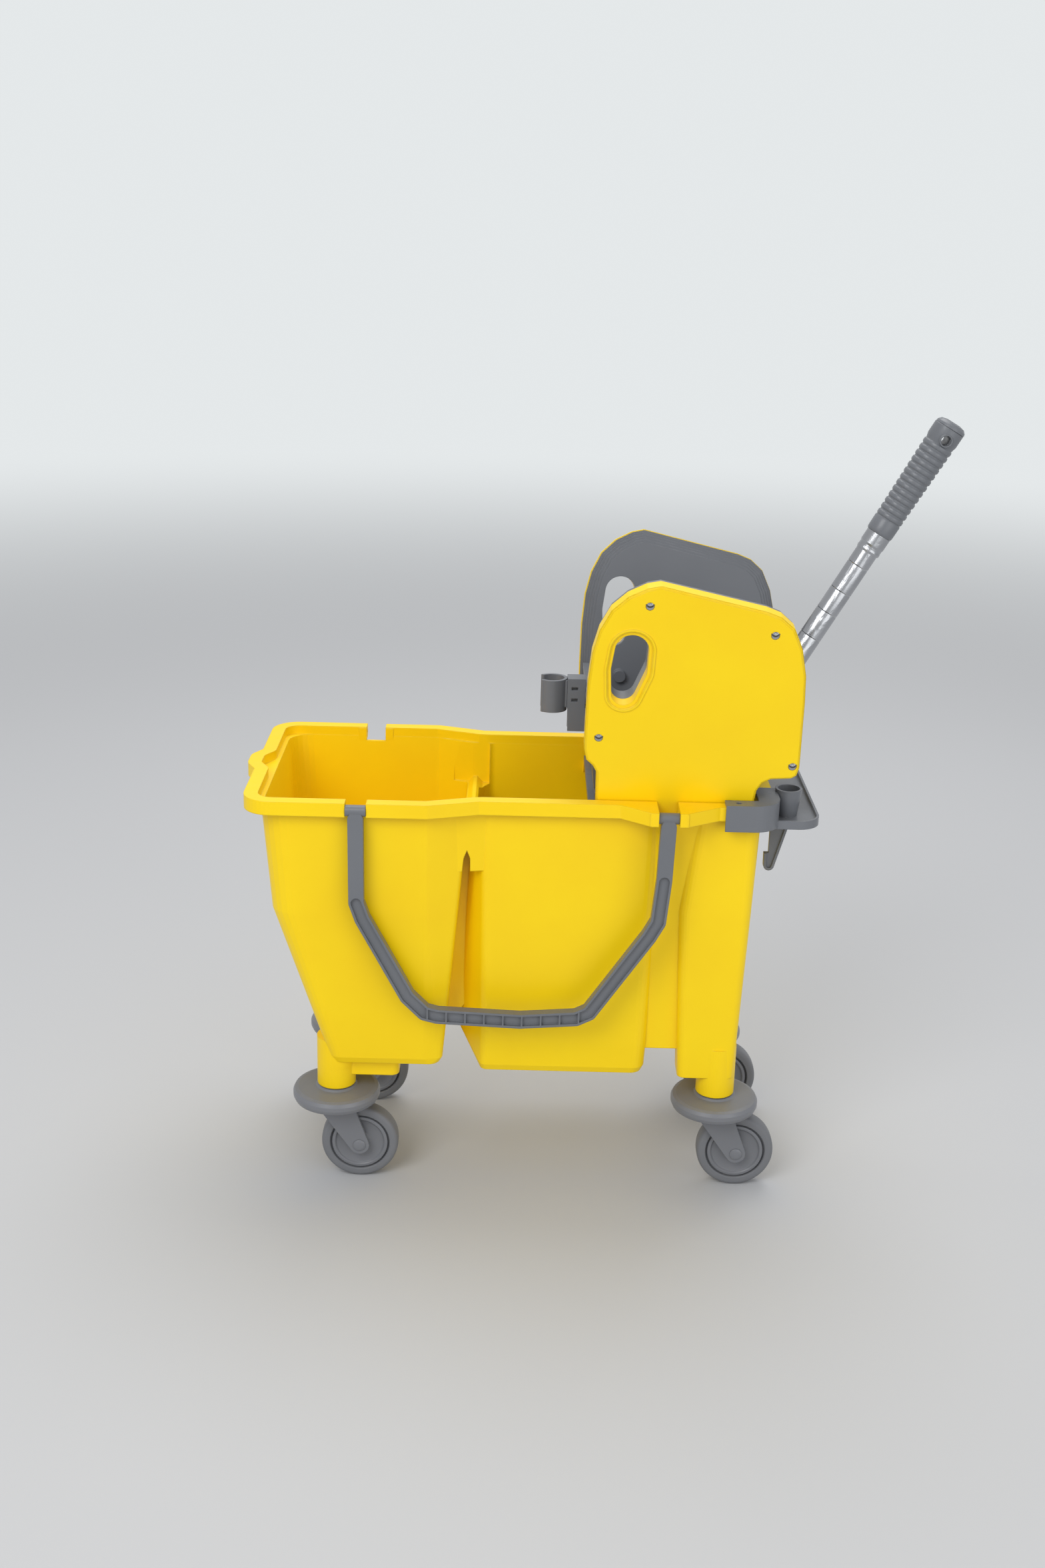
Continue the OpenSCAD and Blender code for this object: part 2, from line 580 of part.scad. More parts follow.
module rack_screws() color(stl) mirror_y() translate([0, -78.5, rack_pz - 0.9]) {
  cyl_x(4, 109.8, 122.2);
  cyl_x(7, 108.4, 111);
  cyl_x(7, 122.2, 124.6);
}

// ---------- lever, drawn along +X from the shaft then swung up
L_end = (reach_x - shaft_x - (grip_r - 0.6)*sin(lever_up))/cos(lever_up) + 3.6;
module lever() translate([shaft_x, 0, shaft_z]) rotate([0, -lever_up, 0]) children();
module cross_shaft() color(stl) translate([shaft_x, 0, shaft_z]) cyl_y(shaft_d, -97.8, 97.8);
module lever_hub() color(gry) lever() difference() {
  union() {
    cyl_y(36, -24, 24);
    hull() {
      translate([6, 0, 0]) cyl_x(34, 0, 4);
      translate([66, 0, 0]) cyl_x(29, 0, 4);
    }
  }
  cyl_y(shaft_d, -40, 40);
  translate([14, 0, 0]) cyl_x(tube_d, 0, 80);
  translate([44, 0, 0]) cyl_y(6, -30, 30);
}
module hub_pin() color(stl) lever() translate([44, 0, 0]) {
  cyl_y(6, -16.4, 16.4);
  cyl_y(10.5, -18.6, -16.2);
  cyl_y(10.5, 16.2, 19.4);
}
module lever_tube() color(stl) lever() difference() {
  translate([14, 0, 0]) cyl_x(tube_d, 0, L_end - 40);
  translate([13, 0, 0]) cyl_x(tube_d - 3, 0, L_end);
  translate([44, 0, 0]) cyl_y(6, -30, 30);
}
module tube_collar() color(stl) lever() translate([L_end - 137, 0, 0]) rotate([0, 90, 0]) rotate_extrude($fn = 56)
  polygon([[tube_d/2, 0], [11.2, 0], [11.6, 2], [11.2, 4], [11.2, 6], [11.8, 8], [11.8, 19], [tube_d/2, 19]]);
// ribbed grip; it widens slightly towards its end
ribs = [for (i = [0:12]) each [[13 + i*0.11, 16 + i*6.2], [13 + i*0.11, 20 + i*6.2],
  [12.2 + i*0.11, 20.8 + i*6.2], [12.2 + i*0.11, 21.6 + i*6.2]]];
module grip() color(gry) lever() translate([L_end - 118, 0, 0]) rotate([0, 90, 0]) difference() {
  rotate_extrude($fn = 56) polygon(concat([[tube_d/2, 0], [12.6, 0], [12.8, 15]], ribs,
    [[grip_r, 99], [grip_r, 112], [tube_d/2, 112]]));
  translate([0, 0, 101]) cyl_y(9, -30, 30);
}
module grip_cap() color(gry) lever() translate([L_end - 6, 0, 0]) rotate([0, 90, 0]) rotate_extrude($fn = 56)
  polygon([[0, -3], [tube_d/2 - 1.5, -3], [tube_d/2 - 1.5, 0], [grip_r, 0], [grip_r - 0.6, 2.4], [grip_r - 3, 4.8],
    [grip_r - 8, 6], [0, 6]]);
module shaft_clips() color(stl) mirror_y() translate([shaft_x, 0, shaft_z]) difference() {
  cyl_y(22, 96.6, 97.4);
  cyl_y(shaft_d, 90, 99);
}

// ---------- rear shelf
// outline of the tray, pulled in by o
module tray_plan(o = 0) hull() for (s = [-1, 1]) {
  translate([163, s*87]) circle(9 - o, $fn = 40);
  translate([189, s*75]) circle(21 - o, $fn = 56);
}
// clamp sleeves that wrap the rear rim corners, clear of the side covers
module sleeves() translate([0, 0, rim_z - 22]) linear_extrude(25) difference() {
  offset(delta = 3.2) rim_plan();
  translate([-400, -200]) square([520, 400]);
  translate([100, -96.4]) square([51, 192.8]);
  translate([100, -58]) square([200, 116]);
}
// triangular hook: a thin web inside a raised border
module hook() rotate([90, 0, 0]) difference() {
  linear_extrude(6) hook_plan(0);
  translate([0, 0, 4]) linear_extrude(3) hook_plan(2.4);
}
module hook_plan(o) offset(delta = -o) hull() {
  translate([0, 53]) square([24, 1]);
  translate([6, 5]) circle(5, $fn = 32);
}
module rear_shelf() color(gry) difference() {
  union() {
    sleeves();
    translate([0, 0, rim_z - 24]) linear_extrude(4) tray_plan();
    translate([0, 0, rim_z - 24]) linear_extrude(8) difference() {
      tray_plan();
      tray_plan(2.2);
    }
    // tapered pocket
    translate([182, -66, rim_z - 21]) cylinder(d1 = 18, d2 = 25, h = 27);
    translate([163, -58, rim_z - 77]) hook();
    translate([159, -70, rim_z - 38]) cube([5, 14, 15]);
  }
  translate([182, -66, rim_z - 18]) cylinder(d1 = 14, d2 = 21.6, h = 29);
  // room for the bucket
  translate([0, 0, rim_z - 60]) linear_extrude(60) offset(delta = 0.05) rim_plan();
  translate([132, -104, rim_z - 10]) cylinder(d = 5, h = 30);
}

bucket();
bail_pins();
caster_bushes();
rear_shelf();
wringer_base();
shell_near();
shell_far();
cover_near();
cover_far();
cover_screws();
front_plate();
clip_bracket();
mop_clip();
clip_rivets();
tie_rods();
shaft_bushes();
idler_pins();
rack_guides();
return_spring();
cross_shaft();
lever_hub();
hub_pin();
lever_tube();
tube_collar();
grip();
grip_cap();
sectors();
shaft_clips();
press_plate();
racks();
rack_screws();
idler_near();
idler_far();
bail();
translate(FN) stem();  // stem_fn
translate(FN) yoke();  // yoke_fn
translate(FN) axle();  // axle_fn
translate(FN) hub();  // hub_fn
translate(FN) tyre();  // tyre_fn
translate(FF) stem();  // stem_ff
translate(FF) yoke();  // yoke_ff
translate(FF) axle();  // axle_ff
translate(FF) hub();  // hub_ff
translate(FF) tyre();  // tyre_ff
translate(RN) stem();  // stem_rn
translate(RN) yoke();  // yoke_rn
translate(RN) axle();  // axle_rn
translate(RN) hub();  // hub_rn
translate(RN) tyre();  // tyre_rn
translate(RF) stem();  // stem_rf
translate(RF) yoke();  // yoke_rf
translate(RF) axle();  // axle_rf
translate(RF) hub();  // hub_rf
translate(RF) tyre();  // tyre_rf
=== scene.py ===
# %% [markdown]
# # A two-well mop bucket with a lever wringer
# The hard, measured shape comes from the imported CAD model, which is loaded first and never moved.
# Everything below gives that frame its looks: rounded mouldings, turned wheels, screws, and finishes.
# Each cell makes one thing, and the words before it say what it is and why it is made that way.

# %% Load the frame and keep its outline
import json
import math

import bmesh
import bpy
from mathutils import Matrix, Vector

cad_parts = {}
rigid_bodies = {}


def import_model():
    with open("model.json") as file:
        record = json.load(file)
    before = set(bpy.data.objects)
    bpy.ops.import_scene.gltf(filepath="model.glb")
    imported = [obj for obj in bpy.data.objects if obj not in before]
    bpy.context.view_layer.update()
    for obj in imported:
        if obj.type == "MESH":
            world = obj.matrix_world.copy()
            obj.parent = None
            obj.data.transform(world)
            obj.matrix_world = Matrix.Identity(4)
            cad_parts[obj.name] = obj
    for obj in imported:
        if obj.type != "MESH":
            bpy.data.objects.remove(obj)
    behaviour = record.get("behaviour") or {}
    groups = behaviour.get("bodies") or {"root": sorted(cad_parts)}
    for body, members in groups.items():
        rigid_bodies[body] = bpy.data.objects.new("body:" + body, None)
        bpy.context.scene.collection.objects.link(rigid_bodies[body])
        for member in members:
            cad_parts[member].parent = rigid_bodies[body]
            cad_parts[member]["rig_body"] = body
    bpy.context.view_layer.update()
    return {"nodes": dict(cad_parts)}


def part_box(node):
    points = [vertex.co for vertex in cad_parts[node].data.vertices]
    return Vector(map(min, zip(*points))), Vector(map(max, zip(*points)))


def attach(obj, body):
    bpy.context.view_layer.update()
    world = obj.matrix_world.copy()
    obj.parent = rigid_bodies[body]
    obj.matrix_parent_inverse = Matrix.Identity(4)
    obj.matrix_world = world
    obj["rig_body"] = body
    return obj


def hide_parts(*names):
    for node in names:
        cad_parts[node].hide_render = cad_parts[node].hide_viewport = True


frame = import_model()
scene = bpy.context.scene
nodes = frame["nodes"]

# %% [markdown]
# ## The camera
# The bucket stands on the floor and is seen from standing height, looking down by about nineteen degrees.
# The camera could be aimed with a Track To constraint, but a matrix built from three turns (around,
# down and a slight roll) is exact and stays put. The long side of the frame is 36 mm of sensor.

# %% Camera
CAMERA_PLACE = Vector((-0.072, -1.640, 0.940))
TURN, LOOK_DOWN, ROLL = -0.005, 0.3275, 0.027
LENS = 41.33

level_right = Vector((math.cos(TURN), math.sin(TURN), 0))
level_ahead = Vector((-math.sin(TURN), math.cos(TURN), 0))
straight_up = Vector((0, 0, 1))
ahead = math.cos(LOOK_DOWN) * level_ahead - math.sin(LOOK_DOWN) * straight_up
above = math.cos(LOOK_DOWN) * straight_up + math.sin(LOOK_DOWN) * level_ahead
right = math.cos(ROLL) * level_right + math.sin(ROLL) * above
up = -math.sin(ROLL) * level_right + math.cos(ROLL) * above
camera = bpy.data.objects.new("camera", bpy.data.cameras.new("camera"))
camera.data.sensor_width = 36
camera.data.lens = LENS
camera.data.clip_end = 60
camera.matrix_world = Matrix.Translation(CAMERA_PLACE) @ Matrix((right, up, -ahead)).transposed().to_4x4()
scene.collection.objects.link(camera)
scene.camera = camera
print("camera looks down by", round(math.degrees(LOOK_DOWN), 1), "degrees")

# %% [markdown]
# ## The light
# Moulded plastic shows its shape by soft, wide highlights, so the lamps are large panels:
# one high in front, one low and wide for the side that faces us, and one overhead behind.
# An even pale world fills the shadows, as the white walls of a small studio do.

# %% Lamps and world
WALL_COLOUR = (0.78, 0.81, 0.82, 1)


def soft_panel(name, place, aim, size, power):
    """A square lamp of that size in metres that faces a point, and isn't seen itself."""
    lamp = bpy.data.lights.new(name, "AREA")
    lamp.shape, lamp.size, lamp.energy = "SQUARE", size, power
    obj = bpy.data.objects.new(name, lamp)
    obj.location = place
    obj.rotation_euler = (Vector(aim) - Vector(place)).to_track_quat("-Z", "Y").to_euler()
    obj.visible_camera = False
    scene.collection.objects.link(obj)


soft_panel("key_panel", (-1.3, -2.3, 2.3), (0, 0, 0.35), 1.6, 42)
soft_panel("front_fill", (1.6, -2.4, 0.9), (0, 0, 0.35), 2.0, 16)
soft_panel("top_panel", (0.2, 0.9, 2.6), (0, 0, 0.4), 1.8, 30)
world = bpy.data.worlds.new("studio")
scene.world = world
world.use_nodes = True
world_nodes, world_links = world.node_tree.nodes, world.node_tree.links
fill_light = world_nodes["Background"]
fill_light.inputs["Color"].default_value = (0.965, 0.98, 1.0, 1)
fill_light.inputs["Strength"].default_value = 0.62
wall_seen = world_nodes.new("ShaderNodeBackground")
wall_seen.inputs["Color"].default_value = WALL_COLOUR
seen_or_lit = world_nodes.new("ShaderNodeMixShader")
is_seen = world_nodes.new("ShaderNodeLightPath")
world_links.new(is_seen.outputs["Is Camera Ray"], seen_or_lit.inputs["Fac"])
world_links.new(fill_light.outputs["Background"], seen_or_lit.inputs[1])
world_links.new(wall_seen.outputs["Background"], seen_or_lit.inputs[2])
world_links.new(seen_or_lit.outputs["Shader"], world_nodes["World Output"].inputs["Surface"])
scene.view_settings.view_transform = "Standard"

# %% [markdown]
# ## Node tree helpers
# Materials are built from the same few moves: add a node, set its sockets, and link it.
# `add_node` does all three in one line, so that each finish below reads like a recipe.

# %% Node helpers
def feed(tree, socket, value):
    """Links an output to a socket, or sets the socket to a plain value."""
    if isinstance(value, bpy.types.NodeSocket):
        tree.links.new(value, socket)
    else:
        socket.default_value = value


def add_node(tree, kind, settings=None, **sockets):
    """Adds a shader node. Settings are its own fields; sockets go by name, or by number as i0, i1, i2."""
    made = tree.nodes.new("ShaderNode" + kind)
    for name, value in (settings or {}).items():
        setattr(made, name, value)
    for name, value in sockets.items():
        by_number = name[0] == "i" and name[1:].isdigit()
        feed(tree, made.inputs[int(name[1:]) if by_number else name.replace("_", " ")], value)
    return made


def new_group(name, inputs, outputs):
    """A shader node group with named sockets: inputs are (name, kind, value), outputs are (name, kind)."""
    tree = bpy.data.node_groups.new(name, "ShaderNodeTree")
    for label, kind, value in inputs:
        socket = tree.interface.new_socket(label, in_out="INPUT", socket_type="NodeSocket" + kind)
        socket.default_value = value
    for label, kind in outputs:
        tree.interface.new_socket(label, in_out="OUTPUT", socket_type="NodeSocket" + kind)
    return tree, tree.nodes.new("NodeGroupInput").outputs, tree.nodes.new("NodeGroupOutput").inputs


def use_group(tree, group, **sockets):
    """Places a node group in a material and sets its inputs."""
    placed = add_node(tree, "Group", {"node_tree": group})
    for name, value in sockets.items():
        feed(tree, placed.inputs[name.replace("_", " ")], value)
    return placed.outputs


# %% [markdown]
# ## Moulded grain
# A steel mould is spark-eroded or blasted before use, and the plastic copies that fine pitted skin.
# A bitmap would tile and blur close up, so two layers of noise in the piece's own coordinates do it:
# one about a millimetre wide for the skin, one much wider for the slight unevenness of cooling plastic.

# %% Group: moulded grain
grain_group, g_in, g_out = new_group(
    "moulded grain",
    [("Grain Size", "Float", 900.0), ("Cloud Size", "Float", 9.0)],
    [("Height", "Float"), ("Clouds", "Float")],
)
place = add_node(grain_group, "TexCoord").outputs["Object"]
skin = add_node(grain_group, "TexNoise", Vector=place, Scale=g_in["Grain Size"], Detail=2.0, Roughness=0.6)
clouds = add_node(
    grain_group, "TexNoise", Vector=place, Scale=g_in["Cloud Size"], Detail=3.0, Roughness=0.5
)
sunk = add_node(grain_group, "Math", {"operation": "MULTIPLY"}, i0=clouds.outputs["Fac"], i1=1.5)
height = add_node(grain_group, "Math", {"operation": "ADD"}, i0=skin.outputs["Fac"], i1=sunk.outputs[0])
grain_group.links.new(height.outputs[0], g_out["Height"])
grain_group.links.new(clouds.outputs["Fac"], g_out["Clouds"])

# %% [markdown]
# ## Rounded edges, their wear and a painted edge highlight
# No moulding has a knife edge, and its edges are where hands and mops rub. The Bevel node looks a
# short way around each point and gives the normal that a small fillet would have. Where that normal
# differs from the real one there is an edge, so the same node also gives the mask for paler edges:
# partly wear, partly a painted highlight along the edges.

# %% Group: rounded edge
edge_group, e_in, e_out = new_group(
    "rounded edge",
    [("Radius", "Float", 0.001), ("Wear Size", "Float", 60.0)],
    [("Normal", "Vector"), ("Wear", "Float")],
)
fillet = add_node(edge_group, "Bevel", {"samples": 4}, Radius=e_in["Radius"])
plain = add_node(edge_group, "NewGeometry")
same = add_node(
    edge_group, "VectorMath", {"operation": "DOT_PRODUCT"},
    i0=fillet.outputs["Normal"], i1=plain.outputs["Normal"],
)
edge = add_node(edge_group, "MapRange", Value=same.outputs["Value"], From_Min=0.995, From_Max=0.86)
place = add_node(edge_group, "TexCoord").outputs["Object"]
broken = add_node(edge_group, "TexNoise", Vector=place, Scale=e_in["Wear Size"], Detail=4.0, Roughness=0.65)
patches = add_node(edge_group, "MapRange", Value=broken.outputs["Fac"], From_Min=0.42, From_Max=0.62)
# The edge mask, broken into patches, serves both as wear and as a painted highlight along edges.
wear_and_sheen = add_node(
    edge_group, "Math", {"operation": "MULTIPLY"}, i0=edge.outputs["Result"], i1=patches.outputs["Result"]
)
edge_group.links.new(fillet.outputs["Normal"], e_out["Normal"])
edge_group.links.new(wear_and_sheen.outputs[0], e_out["Wear"])

# %% [markdown]
# ## Settled dust
# Even a clean bucket keeps a little dust on its level faces. The mask is high where the surface
# looks up, read in the piece's own directions so that it doesn't slide, and is broken up by noise.

# %% Group: settled dust
dust_group, d_in, d_out = new_group("settled dust", [("Speck Size", "Float", 35.0)], [("Mask", "Float")])
where = add_node(dust_group, "TexCoord")
split = add_node(dust_group, "SeparateXYZ", Vector=where.outputs["Normal"])
level = add_node(dust_group, "MapRange", Value=split.outputs["Z"], From_Min=0.55, From_Max=0.98)
specks = add_node(
    dust_group, "TexNoise",
    Vector=where.outputs["Object"], Scale=d_in["Speck Size"], Detail=6.0, Roughness=0.7,
)
spread = add_node(dust_group, "MapRange", Value=specks.outputs["Fac"], From_Min=0.40, From_Max=0.75)
mask = add_node(
    dust_group, "Math", {"operation": "MULTIPLY"}, i0=level.outputs["Result"], i1=spread.outputs["Result"]
)
dust_group.links.new(mask.outputs[0], d_out["Mask"])
print("groups:", [g.name for g in bpy.data.node_groups])

# %% [markdown]
# ## Moulded plastics
# The bucket and covers are satin polypropylene, the greys a slightly drier grade, the wheels' treads
# a soft rubber. They differ in colour, gloss and grain, and share their build: a base colour that
# drifts a little with the clouds, pales along edges (partly wear, partly a painted highlight), and
# dulls where dust has settled.

# %% Plastic finishes
FIRST_COLOUR, SECOND_COLOUR, MIXED_COLOUR = 6, 7, 2  # the colour sockets of a Mix node
DUST_COLOUR = (0.62, 0.60, 0.56, 1)


def mix_colour(tree, amount, first, second):
    """Blends two colours by a mask."""
    mixed = add_node(tree, "Mix", {"data_type": "RGBA"})
    feed(tree, mixed.inputs["Factor"], amount)
    feed(tree, mixed.inputs[FIRST_COLOUR], first)
    feed(tree, mixed.inputs[SECOND_COLOUR], second)
    return mixed.outputs[MIXED_COLOUR]


def scaled(tree, value, factor, offset=0.0):
    """value times factor plus offset."""
    return add_node(tree, "Math", {"operation": "MULTIPLY_ADD"}, i0=value, i1=factor, i2=offset).outputs[0]


def moulded_plastic(name, colour, deep, edge_wear_and_sheen, rough, grain, bump, radius, dust, sheen=0.5):
    """A satin moulded plastic: colour drifts to deep in clouds, and pales to edge_wear_and_sheen along edges,
    partly as wear and partly as a painted highlight.
    """
    material = bpy.data.materials.new(name)
    material.use_nodes = True
    tree = material.node_tree
    shader = tree.nodes["Principled BSDF"]
    skin = use_group(tree, grain_group, Grain_Size=grain)
    corner = use_group(tree, edge_group, Radius=radius)
    dusty = use_group(tree, dust_group)
    drift = add_node(tree, "MapRange", Value=skin["Clouds"], From_Min=0.35, From_Max=0.70)
    base = mix_colour(tree, drift.outputs["Result"], (*colour, 1), (*deep, 1))
    # Edges pale towards the third colour: partly wear, partly a painted highlight.
    with_wear_and_sheen = mix_colour(tree, scaled(tree, corner["Wear"], 0.40), base, (*edge_wear_and_sheen, 1))
    dulled = mix_colour(tree, scaled(tree, dusty["Mask"], dust), with_wear_and_sheen, DUST_COLOUR)
    tree.links.new(dulled, shader.inputs["Base Color"])
    uneven = scaled(tree, skin["Clouds"], 0.10, rough - 0.05)
    gloss = add_node(tree, "Math", {"operation": "MULTIPLY_ADD"}, i0=dusty["Mask"], i1=0.25, i2=uneven)
    tree.links.new(gloss.outputs[0], shader.inputs["Roughness"])
    pits = add_node(
        tree, "Bump", Strength=bump, Distance=0.0002, Height=skin["Height"], Normal=corner["Normal"]
    )
    tree.links.new(pits.outputs["Normal"], shader.inputs["Normal"])
    shader.inputs["Specular IOR Level"].default_value = sheen
    return material


# The third colour of each finish is its paler edge: partly wear, partly a painted highlight.
yellow = moulded_plastic(
    "satin yellow polypropylene", (0.97, 0.675, 0.002), (0.94, 0.625, 0.002), (0.98, 0.76, 0.08), 0.40,
    grain=1100.0, bump=0.10, radius=0.0014, dust=0.03, sheen=0.32,
)
grey = moulded_plastic(
    "satin grey polypropylene", (0.158, 0.166, 0.182), (0.142, 0.150, 0.165), (0.27, 0.28, 0.30), 0.33,
    grain=1000.0, bump=0.12, radius=0.0009, dust=0.05,
)
caster_grey = moulded_plastic(
    "grey caster nylon", (0.190, 0.195, 0.212), (0.172, 0.178, 0.194), (0.36, 0.37, 0.39), 0.34,
    grain=1200.0, bump=0.12, radius=0.0009, dust=0.08,
)
wheel_grey = moulded_plastic(
    "grey wheel core", (0.185, 0.190, 0.205), (0.168, 0.173, 0.188), (0.36, 0.37, 0.39), 0.34,
    grain=1400.0, bump=0.10, radius=0.0006, dust=0.05,
)
tread_grey = moulded_plastic(
    "grey rubber tread", (0.182, 0.186, 0.198), (0.162, 0.167, 0.179), (0.30, 0.31, 0.32), 0.50,
    grain=700.0, bump=0.16, radius=0.0008, dust=0.10, sheen=0.40,
)
dark_nylon = moulded_plastic(
    "dark bearing nylon", (0.070, 0.073, 0.080), (0.060, 0.063, 0.070), (0.16, 0.16, 0.17), 0.48,
    grain=900.0, bump=0.12, radius=0.0006, dust=0.05,
)

# %% [markdown]
# ## Metals
# Zinc-plated screws and pins have a fine brushed, slightly cloudy silver. The lever's tube is brighter:
# a thin bright skin wrapped on a steel tube, with fine creases drawn out along it. A Mapping node turns
# the noise to the lever's slope, and a second one stretches it.
# Both are metals, so their colour is in the reflection, and roughness carries most of the detail.

# %% Metal finishes
LEVER_SLOPE = math.radians(60.4)  # the lever's rise above the horizontal at rest


def metal(name, colour, rough, grain, bump, crease=0.0):
    """A bare metal with clouded gloss; crease adds long wrinkles."""
    material = bpy.data.materials.new(name)
    material.use_nodes = True
    tree = material.node_tree
    shader = tree.nodes["Principled BSDF"]
    skin = use_group(tree, grain_group, Grain_Size=grain, Cloud_Size=40.0)
    corner = use_group(tree, edge_group, Radius=0.0004)
    tone = mix_colour(tree, skin["Clouds"], (*colour, 1), (*[0.72 * c for c in colour], 1))
    # Edges pale towards near white here too: partly wear, partly a painted highlight.
    edge_wear_and_sheen = mix_colour(tree, scaled(tree, corner["Wear"], 0.4), tone, (0.85, 0.85, 0.86, 1))
    tree.links.new(edge_wear_and_sheen, shader.inputs["Base Color"])
    tree.links.new(scaled(tree, skin["Clouds"], 0.22, rough - 0.11), shader.inputs["Roughness"])
    relief = skin["Height"]
    if crease:
        where = add_node(tree, "TexCoord").outputs["Object"]
        turned_to_tube = add_node(tree, "Mapping", Vector=where, Rotation=(0, LEVER_SLOPE, 0)).outputs[0]
        drawn_out = add_node(tree, "Mapping", Vector=turned_to_tube, Scale=(0.30, 1, 1)).outputs[0]
        wrinkle = add_node(
            tree, "TexNoise", Vector=drawn_out, Scale=150.0, Detail=2.0, Roughness=0.5, Distortion=0.8
        )
        with_creases = add_node(
            tree, "Math", {"operation": "MULTIPLY_ADD"}, i0=wrinkle.outputs["Fac"], i1=crease, i2=relief
        )
        relief = with_creases.outputs[0]
    marks = add_node(tree, "Bump", Strength=bump, Distance=0.0003, Height=relief, Normal=corner["Normal"])
    tree.links.new(marks.outputs["Normal"], shader.inputs["Normal"])
    shader.inputs["Metallic"].default_value = 1.0
    return material


zinc = metal("zinc plated steel", (0.48, 0.49, 0.51), 0.32, 1500.0, 0.10)
bright_skin = metal("bright wrapped tube", (0.50, 0.51, 0.53), 0.24, 1200.0, 0.25, crease=8.0)
finishes = {
    "yellow_plastic": yellow, "grey_plastic": grey, "dark_nylon": dark_nylon, "caster_grey": caster_grey,
    "wheel_grey": wheel_grey, "tyre_grey": tread_grey, "lever_metal": bright_skin, "steel": zinc,
}
print("finishes:", sorted(finishes))

# %% [markdown]
# ## Finishes for the CAD solids
# A CAD node whose shape is already right keeps its mesh and only changes its finish, slot by slot.

# %% Give each CAD node its finish
for solid in nodes.values():
    for number, old in enumerate(solid.data.materials):
        solid.data.materials[number] = finishes[old.name.split(".")[0]]
print("finished", len(nodes), "solids")

# %% [markdown]
# ## Helpers for turned pieces
# Wheels, screws, pins and grips are all made on a lathe or in a round mould. In Blender the same
# idea is Spin: draw half of the outline as a few points, then sweep it once round the axis.
# The places and reaches come from the CAD nodes, so each piece sits exactly where its solid sits.

# %% Turning helpers
ALONG_Y = Vector((0, 1, 0))
SAME_POINT = 2e-6  # points closer than this, in metres, are merged


def reach(node, origin, axis):
    """Lowest and highest point of a CAD node along an axis through origin, in metres."""
    steps = [(corner.co - origin).dot(axis) for corner in nodes[node].data.vertices]
    return min(steps), max(steps)


def middle(node):
    """Centre of a CAD node's box."""
    low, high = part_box(node)
    return (Vector(low) + Vector(high)) / 2


def turned(made, outline, centre, axis, steps=64):
    """Sweeps an outline of (radius, distance along the axis) once round the axis."""
    side = axis.orthogonal().normalized()
    points = [made.verts.new(centre + along * axis + radius * side) for radius, along in outline]
    lines = [made.edges.new(pair) for pair in zip(points, points[1:])]
    bmesh.ops.spin(
        made, geom=points + lines, cent=centre, axis=axis, angle=math.tau, steps=steps, use_merge=True
    )


def welded_mesh(made, name):
    """Merges a bmesh's doubles, points its faces outwards and turns it into a mesh."""
    bmesh.ops.remove_doubles(made, verts=made.verts, dist=SAME_POINT)
    bmesh.ops.recalc_face_normals(made, faces=made.faces)
    mesh = bpy.data.meshes.new(name)
    made.to_mesh(mesh)
    made.free()
    return mesh


def finished(made, name, finish, body, stands_for=(), sharp=34):
    """Welds and shades a bmesh, smooth up to that many degrees, as a piece that rides on a body."""
    mesh = welded_mesh(made, name)
    mesh.polygons.foreach_set("use_smooth", [True] * len(mesh.polygons))
    mesh.set_sharp_from_angle(angle=math.radians(sharp))
    mesh.materials.append(finish)
    piece = bpy.data.objects.new(name, mesh)
    scene.collection.objects.link(piece)
    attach(piece, body)
    if stands_for:
        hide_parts(*stands_for)
    return piece


def body_under(node):
    """Name of the body that a CAD node rides on."""
    return nodes[node]["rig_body"]


def thickness(node, direction):
    """Size of a CAD node's box along x, y or z (0, 1 or 2), in metres."""
    low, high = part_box(node)
    return high[direction] - low[direction]


print("points merge within", SAME_POINT * 1e6, "micrometres")

# %% [markdown]
# ## The wheels
# Each caster has a soft tread moulded round a harder core. The tread has rounded shoulders, and the
# core's face is dished, with a raised boss at the axle and a raised bead next to the tread.
# Both are one outline spun round the axle. A round outline like this could also be a Screw modifier,
# but a spun mesh needs no modifier stack and can be welded straight away.

# %% Treads and cores
def both_faces(outline):
    """Repeats half an outline on the wheel's other face."""
    return outline + [(radius, -along) for radius, along in reversed(outline)]


